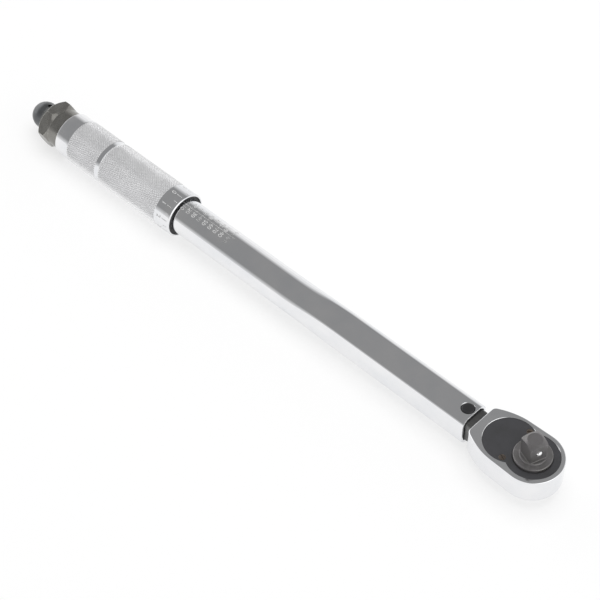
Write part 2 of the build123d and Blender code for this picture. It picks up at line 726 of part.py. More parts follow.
def main():
    os.makedirs("parts", exist_ok=True)
    nodes = {
        "body_tube": body_tube(),
        "pivot_pin": pivot_pin(),
        "thread_nut": thread_nut(),
        "nut_pins": nut_pin_shapes(),
        "main_spring": main_spring(),
        "plunger": plunger(),
        "tilt_block": tilt_block(),
        "ratchet_head": ratchet_head(),
        "cover_plate": cover_plate(),
        "cover_screws": cover_screws(),
        "pawl_pin": pawl_pin(),
        "pawl": pawl(),
        "reverse_lever": reverse_lever(),
        "lever_cam": lever_cam(),
        "lever_screw": lever_screw(),
        "push_rod": push_rod(),
        "pawl_spring": pawl_spring(),
        "drive_gear": drive_gear(),
        "detent_ball": detent_ball(),
        "detent_spring": detent_spring(),
        "spring_seat": spring_seat(),
        "thrust_washer": thrust_washer(),
        "handle_sleeve": handle_sleeve(),
        "guide_ring": guide_ring(),
        "end_plug": end_plug(),
        "grub_screws": grub_screws(),
        "adjusting_screw": adjusting_screw(),
        "lock_collar": lock_collar(),
        "lock_rod": lock_rod(),
        "lock_ball_top": lock_ball(0),
        "lock_ball_bottom": lock_ball(180),
        "lock_knob": lock_knob(),
        "knob_stud": knob_stud(),
        "knob_set_screw": knob_set_screw(),
        "knob_washer": knob_washer(),
    }
    for name, part in nodes.items():
        save(part, name)


main()
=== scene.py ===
import bmesh
import bpy
import json
import math
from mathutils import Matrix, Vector


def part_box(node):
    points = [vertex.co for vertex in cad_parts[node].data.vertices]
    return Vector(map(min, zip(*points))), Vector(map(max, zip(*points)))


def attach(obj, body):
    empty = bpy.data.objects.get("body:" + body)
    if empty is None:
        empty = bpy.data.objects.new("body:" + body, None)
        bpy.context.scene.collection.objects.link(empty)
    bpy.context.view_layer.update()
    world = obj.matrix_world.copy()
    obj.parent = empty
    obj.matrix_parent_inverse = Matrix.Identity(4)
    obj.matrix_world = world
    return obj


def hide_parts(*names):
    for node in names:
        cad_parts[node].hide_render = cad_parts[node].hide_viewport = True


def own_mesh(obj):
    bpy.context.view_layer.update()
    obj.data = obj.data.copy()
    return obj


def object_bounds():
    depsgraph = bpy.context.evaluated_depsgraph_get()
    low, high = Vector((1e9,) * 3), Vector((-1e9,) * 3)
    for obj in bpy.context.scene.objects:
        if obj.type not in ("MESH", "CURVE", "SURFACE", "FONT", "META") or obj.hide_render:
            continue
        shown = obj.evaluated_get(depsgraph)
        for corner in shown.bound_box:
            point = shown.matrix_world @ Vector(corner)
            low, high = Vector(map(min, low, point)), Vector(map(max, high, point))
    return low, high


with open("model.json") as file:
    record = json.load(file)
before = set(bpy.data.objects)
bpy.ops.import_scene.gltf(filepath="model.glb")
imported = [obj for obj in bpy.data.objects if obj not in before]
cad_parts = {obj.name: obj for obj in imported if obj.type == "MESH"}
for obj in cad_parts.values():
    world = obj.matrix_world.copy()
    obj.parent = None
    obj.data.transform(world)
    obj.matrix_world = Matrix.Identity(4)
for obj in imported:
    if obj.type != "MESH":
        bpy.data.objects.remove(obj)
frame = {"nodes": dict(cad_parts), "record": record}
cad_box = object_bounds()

# Looks of the torque wrench. Sizes are in millimetres until a mesh is made.
MM = 0.001


def corners(node):
    """Lowest and highest corner of a CAD node, in millimetres."""
    low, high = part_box(node)
    return low / MM, high / MM


# ---- sizes and places from the frame ----
tube_low, tube_high = corners("body_tube")
sleeve_low, sleeve_high = corners("handle_sleeve")
pin_low, pin_high = corners("pivot_pin")
head_low, head_high = corners("ratchet_head")
cover_low, cover_high = corners("cover_plate")
gear_low, gear_high = corners("drive_gear")
knob_low, knob_high = corners("lock_knob")
spring_low, spring_high = corners("main_spring")
lever_top_z = corners("reverse_lever")[1].z

AXIS_Z = (sleeve_low.z + sleeve_high.z) / 2
TUBE_R = tube_high.y
TUBE_WALL = 1.5
FLAT_HALF_HEIGHT = 9.0
FLAT_HALF_WIDTH = 8.75
FLAT_CORNER_R = 4.7
FLAT_END_X = -117.4
ROUND_END_X = -154.8
PIN_X = (pin_low.x + pin_high.x) / 2
PIN_R = pin_high.y
HANDLE_R = sleeve_high.y
MOUTH_R = TUBE_R + 1.7
MOUTH_DEEP = 2.5
SLEEVE_BORE_R = TUBE_R + 0.08
SCALE_END_X = sleeve_high.x + 40
KNURL_REAR = (-316.0, -293.7)
KNURL_FRONT = (-290.9, -247.0)
KNURL_CELLS = 60
KNURL_DEEP = 0.34
KNURL_PITCH = 1.4
HEAD_REAR_X = -32.1
NOSE_R = head_high.x
COVER_R = cover_high.x
LOBE_X = cover_low.x + COVER_R
CAM_X = -22.5
SCREW_X, SCREW_Y = -10.1, 10.3
TEETH = 36
LEVER_TURN = math.radians(-35)
SQUARE_HALF = 4.75
SQUARE_TURN = math.radians(-20)
KNOB_R = 13.3
KNOB_RIM_R = 11.3
KNOB_CORNER_FRONT_X = -334.5
KNOB_CORNER_REAR_X = -338.1
KNOB_CORNER_TURN = math.radians(-22)
DOME_R = 7.7
DOME_X = knob_low.x + DOME_R
SET_SCREW_X = -344.2


# ---- meshes ----
class Skin:
    """The points, in millimetres, and the faces of one mesh."""

    def __init__(self):
        self.points = []
        self.faces = []

    def ring(self, points):
        start = len(self.points)
        self.points += points
        return list(range(start, len(self.points)))

    def join(self, a, b):
        for i, p in enumerate(a):
            j = (i + 1) % len(a)
            self.faces.append((p, a[j], b[j], b[i]))

    def stack(self, rings, hollow=False):
        """Skins over rings in a row: closed round through the bore, or capped at both ends."""
        loops = [self.ring(points) for points in rings]
        for a, b in zip(loops, loops[1:]):
            self.join(a, b)
        if hollow:
            self.join(loops[-1], loops[0])
        else:
            self.faces.append(tuple(loops[0]))
            self.faces.append(tuple(loops[-1]))
        return self

    def piece(self, name):
        data = bpy.data.meshes.new(name)
        data.from_pydata([Vector(p) * MM for p in self.points], [], self.faces)
        tidy = bmesh.new()
        tidy.from_mesh(data)
        bmesh.ops.remove_doubles(tidy, verts=tidy.verts, dist=0.0005 * MM)
        bmesh.ops.recalc_face_normals(tidy, faces=tidy.faces)
        tidy.to_mesh(data)
        tidy.free()
        made = bpy.data.objects.new(name, data)
        bpy.context.scene.collection.objects.link(made)
        return made


def around_x(x, radius, count):
    """A ring about the tube axis."""
    turns = [math.tau * i / count for i in range(count)]
    return [(x, radius * math.sin(t), AXIS_Z + radius * math.cos(t)) for t in turns]


def around_z(z, radius, count, x=0.0, y=0.0):
    """A ring about an upright line."""
    turns = [math.tau * i / count for i in range(count)]
    return [(x + radius * math.cos(t), y + radius * math.sin(t), z) for t in turns]


def between(a, b, share):
    return tuple(p + (q - p) * share for p, q in zip(a, b))


def soften(path, size, steps=3, closed=True):
    """Rounds the corners of a path."""
    out = []
    for i, corner in enumerate(path):
        if not closed and i in (0, len(path) - 1):
            out.append(corner)
            continue
        before, after = path[i - 1], path[(i + 1) % len(path)]
        reach_in = min(0.45, size / max(math.dist(before, corner), 1e-6))
        reach_out = min(0.45, size / max(math.dist(after, corner), 1e-6))
        start = between(corner, before, reach_in)
        end = between(corner, after, reach_out)
        for k in range(steps + 1):
            t = k / steps
            out.append(between(between(start, corner, t), between(corner, end, t), t))
    return out


def settle(piece):
    """Applies the modifiers of a piece."""
    graph = bpy.context.evaluated_depsgraph_get()
    old = piece.data
    piece.data = bpy.data.meshes.new_from_object(piece.evaluated_get(graph))
    piece.modifiers.clear()
    bpy.data.meshes.remove(old)


def combine(piece, tool, how="DIFFERENCE"):
    """Cuts a tool out of a piece, or adds it, and removes the tool."""
    before = len(piece.data.polygons)
    step = piece.modifiers.new("combine", "BOOLEAN")
    step.operation = how
    step.object = tool
    step.solver = "EXACT"
    settle(piece)
    bpy.data.objects.remove(tool)
    if len(piece.data.polygons) < before / 4:
        raise ValueError(f"a cut has emptied {piece.name}")


def post(z_from, z_to, radius, x=0.0, y=0.0, end_radius=None, count=96):
    """An upright cylinder or cone, as a cutting tool."""
    last = radius if end_radius is None else end_radius
    rings = [around_z(z_from, radius, count, x, y), around_z(z_to, last, count, x, y)]
    return Skin().stack(rings).piece("tool")


def radial_rod(x, turn, inner, outer, radius, count=48):
    """A cylinder square to the tube axis, turned from straight up towards -Y, as a tool."""
    rings = []
    for reach in (inner, outer):
        ring = []
        for i in range(count):
            t = math.tau * i / count
            across, up = radius * math.sin(t), reach
            y = -up * math.sin(turn) - across * math.cos(turn)
            z = up * math.cos(turn) - across * math.sin(turn)
            ring.append((x + radius * math.cos(t), y, AXIS_Z + z))
        rings.append(ring)
    return Skin().stack(rings).piece("tool")


def round_edges(piece, width, degrees=28, segments=2):
    """Small rounded edges on every corner sharper than an angle."""
    step = piece.modifiers.new("edges", "BEVEL")
    step.width = width * MM
    step.segments = segments
    step.limit_method = "ANGLE"
    step.angle_limit = math.radians(degrees)
    settle(piece)


def smooth(piece, degrees=32):
    """Smooth shading that keeps flat faces flat and corners sharp."""
    piece.data.shade_smooth()
    piece.data.set_sharp_from_angle(angle=math.radians(degrees))
    step = piece.modifiers.new("normals", "WEIGHTED_NORMAL")
    step.mode = "FACE_AREA"
    step.keep_sharp = True
    settle(piece)


def dress(piece, body, materials, stands_for=(), rule=None):
    """Gives a piece its materials, its body and the CAD nodes that it stands for."""
    piece.data.materials.clear()
    for material in materials:
        piece.data.materials.append(material)
    if rule is not None:
        for face in piece.data.polygons:
            face.material_index = rule(face.center / MM, face.normal)
    else:
        for face in piece.data.polygons:
            face.material_index = 0
    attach(piece, body)
    if stands_for:
        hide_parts(*stands_for)
    return piece


# ---- materials ----
def add(tree, kind, **values):
    node = tree.nodes.new(kind)
    for name, value in values.items():
        setattr(node, name, value)
    return node


def noise(tree, coords, scale, detail=4.0):
    node = add(tree, "ShaderNodeTexNoise")
    node.inputs["Scale"].default_value = scale
    node.inputs["Detail"].default_value = detail
    tree.links.new(coords, node.inputs["Vector"])
    return node.outputs["Fac"]


def stretched(tree, coords, scale):
    node = add(tree, "ShaderNodeMapping")
    node.inputs["Scale"].default_value = scale
    tree.links.new(coords, node.inputs["Vector"])
    return node.outputs["Vector"]


def ranged(tree, value, low, high, to_low, to_high):
    node = add(tree, "ShaderNodeMapRange")
    for socket, number in zip(("From Min", "From Max", "To Min", "To Max"),
                              (low, high, to_low, to_high)):
        node.inputs[socket].default_value = number
    tree.links.new(value, node.inputs["Value"])
    return node.outputs["Result"]


def blended(tree, factor, a, b):
    """Mixes two colours, each a colour or a socket."""
    node = add(tree, "ShaderNodeMix", data_type="RGBA")
    tree.links.new(factor, node.inputs["Factor"])
    for socket, value in ((node.inputs[6], a), (node.inputs[7], b)):
        if isinstance(value, tuple):
            socket.default_value = (*value, 1.0)
        else:
            tree.links.new(value, socket)
    return node.outputs[2]


def edge_mask(tree, width):
    """Nearly 1 along sharp edges and 0 elsewhere."""
    rounded = add(tree, "ShaderNodeBevel", samples=6)
    rounded.inputs["Radius"].default_value = width * MM
    plain = add(tree, "ShaderNodeNewGeometry")
    dot = add(tree, "ShaderNodeVectorMath", operation="DOT_PRODUCT")
    tree.links.new(rounded.outputs["Normal"], dot.inputs[0])
    tree.links.new(plain.outputs["Normal"], dot.inputs[1])
    return ranged(tree, dot.outputs["Value"], 0.995, 0.88, 0.0, 1.0)


def metal(name, colour, shade, rough, rough_spread, metallic=1.0, grain=(1, 1, 1),
          grain_scale=500.0, bump=0.05, patch_scale=60.0, edge=None, edge_width=0.25,
          edge_rough=0.25):
    """A metal with patches of tone, uneven polish, a fine grain and, if asked, lighter edges that
    are partly wear and partly a painted highlight.
    """
    material = bpy.data.materials.new(name)
    material.use_nodes = True
    tree = material.node_tree
    shader = tree.nodes["Principled BSDF"]
    shader.inputs["Metallic"].default_value = metallic
    coords = add(tree, "ShaderNodeTexCoord").outputs["Object"]
    patches = noise(tree, coords, patch_scale)
    fine = noise(tree, stretched(tree, coords, grain), grain_scale, 6.0)
    tone = blended(tree, ranged(tree, patches, 0.35, 0.65, 0.0, 1.0), colour, shade)
    polish = ranged(tree, noise(tree, coords, patch_scale * 2.7), 0.3, 0.7,
                    rough, rough + rough_spread)
    # The edge colour is partly wear and partly a painted highlight along sharp edges.
    if edge is not None:
        mask = edge_mask(tree, edge_width)
        worn_and_highlit_edges = add(tree, "ShaderNodeMath", operation="MULTIPLY")
        tree.links.new(mask, worn_and_highlit_edges.inputs[0])
        tree.links.new(ranged(tree, fine, 0.35, 0.6, 0.45, 1.0), worn_and_highlit_edges.inputs[1])
        tone = blended(tree, worn_and_highlit_edges.outputs[0], tone, edge)
        mix = add(tree, "ShaderNodeMix", data_type="FLOAT")
        tree.links.new(worn_and_highlit_edges.outputs[0], mix.inputs["Factor"])
        tree.links.new(polish, mix.inputs[2])
        mix.inputs[3].default_value = edge_rough
        polish = mix.outputs[0]
    relief = add(tree, "ShaderNodeBump")
    relief.inputs["Strength"].default_value = bump
    relief.inputs["Distance"].default_value = 0.02 * MM
    tree.links.new(fine, relief.inputs["Height"])
    tree.links.new(tone, shader.inputs["Base Color"])
    tree.links.new(polish, shader.inputs["Roughness"])
    tree.links.new(relief.outputs["Normal"], shader.inputs["Normal"])
    return material


CHROME = (0.86, 0.86, 0.87)
CHROME_SHADE = (0.80, 0.81, 0.83)
LONG_GRAIN = (0.03, 1, 1)

materials = {
    "chrome_tube": metal("chrome_tube", CHROME, CHROME_SHADE, 0.035, 0.05,
                         grain=LONG_GRAIN, grain_scale=900, bump=0.03),
    "chrome_handle": metal("chrome_handle", CHROME, CHROME_SHADE, 0.07, 0.08,
                           grain_scale=700, bump=0.05),
    # Its edge colour is a painted highlight: a bright rim along the head's edges.
    "chrome_head": metal("chrome_head", CHROME, CHROME_SHADE, 0.06, 0.08,
                         grain_scale=450, bump=0.08, edge=(0.95, 0.95, 0.95), edge_width=0.2,
                         edge_rough=0.15),
    "chrome_knurl": metal("chrome_knurl", (0.94, 0.94, 0.95), (0.86, 0.86, 0.87), 0.12, 0.08,
                          metallic=0.66, grain_scale=700, bump=0.04),
    "cover_black": metal("cover_black", (0.070, 0.070, 0.076), (0.060, 0.060, 0.063), 0.42, 0.14,
                         metallic=0.35, grain_scale=1400, bump=0.25, patch_scale=110,
                         edge=(0.12, 0.12, 0.12), edge_width=0.2, edge_rough=0.3),
    # Its lighter edge colour is partly wear and partly a painted highlight on the chamfers and the
    # boss ring.
    "drive_steel": metal("drive_steel", (0.24, 0.23, 0.235), (0.205, 0.20, 0.195), 0.34, 0.16,
                         metallic=0.75, grain_scale=1200, bump=0.3, patch_scale=140,
                         edge=(0.36, 0.36, 0.36), edge_width=0.3, edge_rough=0.25),
    # Its near-white edge colour is mostly a painted highlight along the facet edges, partly also
    # wear.
    "knob_steel": metal("knob_steel", (0.27, 0.265, 0.25), (0.235, 0.228, 0.213), 0.20, 0.08,
                        metallic=0.92, grain_scale=900, bump=0.12, patch_scale=160,
                        edge=(0.95, 0.93, 0.88), edge_width=0.5, edge_rough=0.2),
    "dome_steel": metal("dome_steel", (0.145, 0.15, 0.155), (0.12, 0.123, 0.127), 0.26, 0.12,
                        metallic=0.92, grain_scale=900, bump=0.12, patch_scale=160),
    "pin_steel": metal("pin_steel", (0.06, 0.06, 0.066), (0.05, 0.05, 0.052), 0.34, 0.14,
                       metallic=0.7, grain_scale=900, bump=0.2, edge=(0.25, 0.25, 0.26)),
    "bare_steel": metal("bare_steel", (0.56, 0.56, 0.57), (0.46, 0.46, 0.47), 0.24, 0.14,
                        grain=(1, 0.08, 1), grain_scale=900, bump=0.2,
                        edge=(0.7, 0.7, 0.7)),
    "spring_steel": metal("spring_steel", (0.30, 0.30, 0.32), (0.22, 0.21, 0.22), 0.28, 0.16,
                          grain_scale=1100, bump=0.2),
    "ball_steel": metal("ball_steel", (0.88, 0.88, 0.88), (0.84, 0.84, 0.85), 0.04, 0.05,
                        grain_scale=1500, bump=0.02),
    "yellow_zinc": metal("yellow_zinc", (0.25, 0.21, 0.18), (0.19, 0.16, 0.14), 0.32, 0.14,
                         grain_scale=1500, bump=0.2, patch_scale=300, edge=(0.4, 0.34, 0.28)),
    "bronze": metal("bronze", (0.62, 0.43, 0.24), (0.5, 0.34, 0.19), 0.3, 0.15,
                    grain_scale=1500, bump=0.3),
    "nylon_black": metal("nylon_black", (0.02, 0.02, 0.022), (0.03, 0.03, 0.03), 0.4, 0.15,
                         metallic=0.0, grain_scale=2500, bump=0.3),
    # Its edge colour is a painted highlight along the lever's edges.
    "lever_chrome": metal("lever_chrome", CHROME, CHROME_SHADE, 0.1, 0.1,
                          grain_scale=500, bump=0.12, edge=(0.93, 0.93, 0.93)),
}
neck_dark = metal("neck_dark", (0.20, 0.20, 0.195), (0.13, 0.13, 0.13), 0.34, 0.2,
                  metallic=0.9, grain_scale=600, bump=0.35, edge=(0.4, 0.4, 0.4))
mark_matte = metal("mark_matte", (0.82, 0.82, 0.82), (0.62, 0.62, 0.62), 0.38, 0.2,
                   metallic=0.25, grain_scale=1500, bump=0.2, patch_scale=500)


# ---- tube ----
def side_points(a, b, middle_angle, radius, count, centre):
    """Points from a up to b, on a round corner, or on a straight side if radius is None."""
    if radius is None:
        return [between(a, b, k / count) for k in range(count)]
    out = []
    for k in range(count):
        t = middle_angle + (k / count - 0.5) * math.pi / 2
        out.append((centre[0] + radius * math.sin(t), centre[1] + radius * math.cos(t)))
    return out


def flat_section(inset, count):
    """The pressed section as (y, z) points, clockwise from its top left corner."""
    w = FLAT_HALF_WIDTH - inset
    h = FLAT_HALF_HEIGHT - inset
    r = FLAT_CORNER_R - inset
    out = []
    for quarter in range(4):
        turn = quarter * math.pi / 2
        along, away = (w, h) if quarter % 2 == 0 else (h, w)
        straight = [(-(along - r), away), (along - r, away)]
        side = side_points(*straight, 0, None, count, None)
        corner = side_points(None, None, math.pi / 4, r, count, (along - r, away - r))
        for y, z in side + corner:
            out.append((y * math.cos(turn) + z * math.sin(turn),
                        z * math.cos(turn) - y * math.sin(turn)))
    return out


def round_section(radius, count):
    """The round section, with its points matched to those of the pressed one."""
    half_top, half_side = 23.0, 24.6
    ends = [-half_top, half_top, 90 - half_side, 90 + half_side, 180 - half_top]
    ends += [180 + half_top, 270 - half_side, 270 + half_side, 360 - half_top]
    out = []
    for a, b in zip(ends, ends[1:]):
        for k in range(count):
            t = math.radians(a + (b - a) * k / count)
            out.append((radius * math.sin(t), radius * math.cos(t)))
    return out


def tube_ring(x, inset, count=20):
    share = min(max((x - ROUND_END_X) / (FLAT_END_X - ROUND_END_X), 0.0), 1.0)
    eased = share * share * (3 - 2 * share)
    pairs = zip(round_section(TUBE_R - inset, count), flat_section(inset, count))
    return [(x, y, AXIS_Z + z) for y, z in (between(a, b, eased) for a, b in pairs)]


def tube_stations():
    """Distances along the tube, close together where its section changes."""
    steps = 44
    changing = [ROUND_END_X + (FLAT_END_X - ROUND_END_X) * k / steps for k in range(steps + 1)]
    straight = [tube_low.x + 1 + k * (ROUND_END_X - tube_low.x - 1) / 12 for k in range(12)]
    front = [FLAT_END_X + k * (tube_high.x - 1 - FLAT_END_X) / 8 for k in range(1, 9)]
    return straight + changing + front


def lip(x, outward, radius=0.35, steps=4):
    """(x, inset) points round the lip at an end of the tube, from outside to inside."""
    out = []
    for inset, turn in ((radius, 0), (TUBE_WALL - radius, 90)):
        for k in range(steps + 1):
            t = math.radians(turn + 90 * k / steps)
            out.append((x - outward * radius * (1 - math.sin(t)), inset - radius * math.cos(t)))
    return out


def stamp(text, size, x, turn, radius, depth=0.22):
    """A text as a solid tool bent round the tube axis, upright towards the head."""
    curve = bpy.data.curves.new("text", "FONT")
    curve.body = text
    curve.size = size
    clean = text.isdigit() and "4" not in text
    curve.offset = 0.02 * size if clean else 0.0   # other glyphs would fold over themselves
    curve.extrude = 1.0
    curve.align_x = "CENTER"
    curve.align_y = "CENTER"
    curve.resolution_u = 3
    flat = bpy.data.objects.new("text", curve)
    bpy.context.scene.collection.objects.link(flat)
    bpy.context.view_layer.update()
    graph = bpy.context.evaluated_depsgraph_get()
    data = bpy.data.meshes.new_from_object(flat.evaluated_get(graph))
    bpy.data.objects.remove(flat)
    for vertex in data.vertices:
        across, along, lift = vertex.co
        reach = radius + (0.3 if lift > 0 else -depth)
        t = turn + across / radius
        place = (x + along, -reach * math.sin(t), AXIS_Z + reach * math.cos(t))
        vertex.co = Vector(place) * MM
    tidy = bmesh.new()
    tidy.from_mesh(data)
    bmesh.ops.remove_doubles(tidy, verts=tidy.verts, dist=0.0005 * MM)
    bmesh.ops.triangulate(tidy, faces=tidy.faces)
    bmesh.ops.recalc_face_normals(tidy, faces=tidy.faces)
    tidy.to_mesh(data)
    tidy.free()
    made = bpy.data.objects.new("tool", data)
    bpy.context.scene.collection.objects.link(made)
    return made


def groove(x_from, x_to, turn, width, radius, depth=0.22):
    """A thin straight line along the tube axis, or across it when it is short, as a tool."""
    half = width / 2 / radius
    ring = []
    for t, reach in ((turn - half, radius + 0.3), (turn + half, radius + 0.3),
                     (turn + half, radius - depth), (turn - half, radius - depth)):
        ring.append((-reach * math.sin(t), AXIS_Z + reach * math.cos(t)))
    rings = [[(x, y, z) for y, z in ring] for x in (x_from, x_to)]
    return Skin().stack(rings).piece("tool")


def below_surface(radius, x_from, x_to, depth=0.08):
    """A rule that gives the faces of engraved marks the second material."""
    def rule(centre, normal):
        if not x_from < centre.x < x_to:
            return 0
        reach = math.hypot(centre.y, centre.z - AXIS_Z)
        outward = (normal.y * centre.y + normal.z * (centre.z - AXIS_Z)) / max(reach, 1e-6)
        sunk = radius - 0.4 < reach < radius - 0.01
        return 1 if sunk and (reach < radius - depth or outward < 0.7) else 0
    return rule


def scale_tools():
    """Two columns of torque figures with an index line between them."""
    rows = 8
    pitch = 4.0
    figure, unit = 3.3, 2.6
    first = sleeve_high.x + 1.6
    column = 0.245
    tools = [groove(sleeve_high.x - 1.5, first + rows * pitch + 3.5, 0, 0.3, TUBE_R)]
    for i in range(rows):
        x = first + i * pitch
        tools.append(stamp(str(10 * (i + 1)), figure, x, column, TUBE_R))
        tools.append(stamp(f"{13.56 * (i + 1):.0f}", figure, x, -column - 0.03, TUBE_R))
        tools.append(groove(x - 0.12, x + 0.12, 0, 1.7, TUBE_R))
    unit_x = first + rows * pitch + 0.6
    tools.append(stamp("lb ft", unit, unit_x, column + 0.06, TUBE_R))
    tools.append(stamp("N m", unit, unit_x, -column - 0.06, TUBE_R))
    return tools


def tube_shell():
    """The tube with its pin holes and the engraved scale."""
    rings = [tube_ring(x, 0) for x in tube_stations()]
    rings += [tube_ring(x, inset) for x, inset in lip(tube_high.x, 1)]
    rings += [tube_ring(x, TUBE_WALL) for x in reversed(tube_stations())]
    rings += [tube_ring(x, inset) for x, inset in reversed(lip(tube_low.x, -1))]
    tube = Skin().stack(rings, hollow=True).piece("tube_shell")
    flat_top = AXIS_Z + FLAT_HALF_HEIGHT
    flat_bottom = AXIS_Z - FLAT_HALF_HEIGHT
    combine(tube, post(flat_bottom - 3, flat_top + 3, PIN_R, PIN_X, count=64))
    sink = 0.45
    combine(tube, post(flat_top - sink, flat_top + sink, PIN_R - 0.01, PIN_X,
                       end_radius=PIN_R + 2 * sink, count=64))
    combine(tube, post(flat_bottom - sink, flat_bottom + sink, PIN_R + 2 * sink, PIN_X,
                       end_radius=PIN_R - 0.01, count=64))
    for tool in scale_tools():
        combine(tube, tool)
    smooth(tube, 30)
    return dress(tube, "tube", [materials["chrome_tube"], mark_matte],
                 ["body_tube"], below_surface(TUBE_R, sleeve_high.x - 2, SCALE_END_X))


def pivot_pin():
    """The pin's ends are turned with a bevel, a fine ring and a slight crown."""
    half = (pin_high.z - pin_low.z) / 2
    end = [(half - 0.5, PIN_R), (half - 0.12, PIN_R - 0.42), (half - 0.1, PIN_R - 0.9)]
    end += [(half - 0.02, PIN_R - 1.6), (half, 0.0)]
    profile = [(-z, r) for z, r in reversed(end)] + end
    path = soften(profile, 0.12, closed=False)
    rings = [around_z(AXIS_Z + z, r, 64, PIN_X) for z, r in path]
    pin = Skin().stack(rings).piece("pivot_pin_turned")
    smooth(pin)
    return dress(pin, "tube", [materials["pin_steel"]], ["pivot_pin"])


# ---- handle ----
def knurl(skin, x_from, x_to, first, last):
    """Diamond knurling between two rings that have two points for each cell."""
    rows = 2 * round((x_to - x_from) / KNURL_PITCH)
    step = (x_to - x_from) / rows
    slots = 2 * KNURL_CELLS
    valley = HANDLE_R - KNURL_DEEP

    def at(column, row, radius):
        t = math.tau * column / slots
        return (x_from + row * step, radius * math.sin(t), AXIS_Z + radius * math.cos(t))

    corner = {}
    for row in range(rows + 1):
        for column in range(slots):
            if row in (0, rows):
                corner[column, row] = (first if row == 0 else last)[column]
            elif (column + row) % 2:
                corner[column, row] = skin.ring([at(column, row, valley)])[0]

    def c(column, row):
        return corner[column % slots, row]

    top = 0.26
    for row in range(1, rows):
        for column in range(row % 2, slots, 2):
            outer = [c(column - 1, row), c(column, row - 1), c(column + 1, row), c(column, row + 1)]
            inner = skin.ring([at(column - top, row, HANDLE_R), at(column, row - top, HANDLE_R),
                               at(column + top, row, HANDLE_R), at(column, row + top, HANDLE_R)])
            skin.join(outer, inner)
            skin.faces.append(tuple(inner))
    for edge, inside in ((0, 1), (rows, rows - 1)):
        for column in range(slots):
            if (column + inside) % 2:
                skin.faces.append((c(column - 1, edge), c(column, edge), c(column, inside)))
                skin.faces.append((c(column, edge), c(column + 1, edge), c(column, inside)))


def handle_grip():
    """The knurled grip, from its rear edge to the front end of the knurling."""
    slots = 2 * KNURL_CELLS
    plain = HANDLE_R - 0.06
    valley = HANDLE_R - KNURL_DEEP
    groove_r = HANDLE_R - 0.45
    bore = SLEEVE_BORE_R
    skin = Skin()
    rear_edge = soften([(sleeve_low.x, bore), (sleeve_low.x, plain), (KNURL_REAR[0] - 0.5, plain)],
                       0.5, closed=False)[1:]
    rear = rear_edge + [(KNURL_REAR[0] - 0.1, valley + 0.05), (KNURL_REAR[0], valley)]
    waist = [(KNURL_REAR[1], valley), (KNURL_REAR[1] + 0.1, groove_r + 0.05)]
    waist += [(KNURL_REAR[1] + 0.3, groove_r), (KNURL_FRONT[0] - 0.3, groove_r)]
    waist += [(KNURL_FRONT[0] - 0.1, groove_r + 0.05), (KNURL_FRONT[0], valley)]
    front = [(KNURL_FRONT[1], valley), (KNURL_FRONT[1] + 0.1, valley + 0.1)]
    front += [(KNURL_FRONT[1] + 0.15, bore), (sleeve_low.x, bore)]
    loops = []
    for part in (rear, waist, front):
        loops.append([skin.ring(around_x(x, r, slots)) for x, r in part])
        for a, b in zip(loops[-1], loops[-1][1:]):
            skin.join(a, b)
    skin.join(loops[2][-1], loops[0][0])
    knurl(skin, *KNURL_REAR, loops[0][-1], loops[1][0])
    knurl(skin, *KNURL_FRONT, loops[1][-1], loops[2][0])
    grip = skin.piece("handle_grip")
    smooth(grip, 20)

    def rule(centre, normal):
        rear, front = KNURL_REAR, KNURL_FRONT
        return 1 if rear[0] < centre.x < rear[1] or front[0] < centre.x < front[1] else 0

    return dress(grip, "handle",
                 [materials["chrome_handle"], materials["chrome_knurl"]], ["handle_sleeve"], rule)


def band_tools():
    """Division lines round the front edge of the handle, with a figure at every second."""
    divisions = 20
    tools = []
    for i in range(divisions):
        turn = math.tau * i / divisions
        long_line = i % 2 == 0
        rear_x = sleeve_high.x - (5.2 if long_line else 3.6)
        tools.append(groove(rear_x, sleeve_high.x - 1.3, turn, 0.4, HANDLE_R))
        if long_line:
            tools.append(stamp(str(i // 2), 3.9, sleeve_high.x - 7.6, turn, HANDLE_R))
    return tools


def handle_front_band():
    """The plain front edge of the handle, with its bevel and its engraved divisions."""
    rear_x = KNURL_FRONT[1] + 0.12
    bore = SLEEVE_BORE_R
    mouth_x, mouth_r = sleeve_high.x - MOUTH_DEEP, MOUTH_R
    profile = [(rear_x, bore), (rear_x, HANDLE_R - 0.02), (sleeve_high.x - 0.6, HANDLE_R - 0.02)]
    profile += [(sleeve_high.x, HANDLE_R - 0.6), (sleeve_high.x, mouth_r)]
    profile += [(mouth_x, mouth_r), (mouth_x, bore)]
    rings = [around_x(x, r, 157) for x, r in soften(profile, 0.25)]
    band = Skin().stack(rings, hollow=True).piece("handle_front_band")
    for tool in band_tools():
        combine(band, tool)
    smooth(band, 30)
    return dress(band, "handle", [materials["chrome_tube"], mark_matte],
                 (), below_surface(HANDLE_R, rear_x, sleeve_high.x - 1.2))


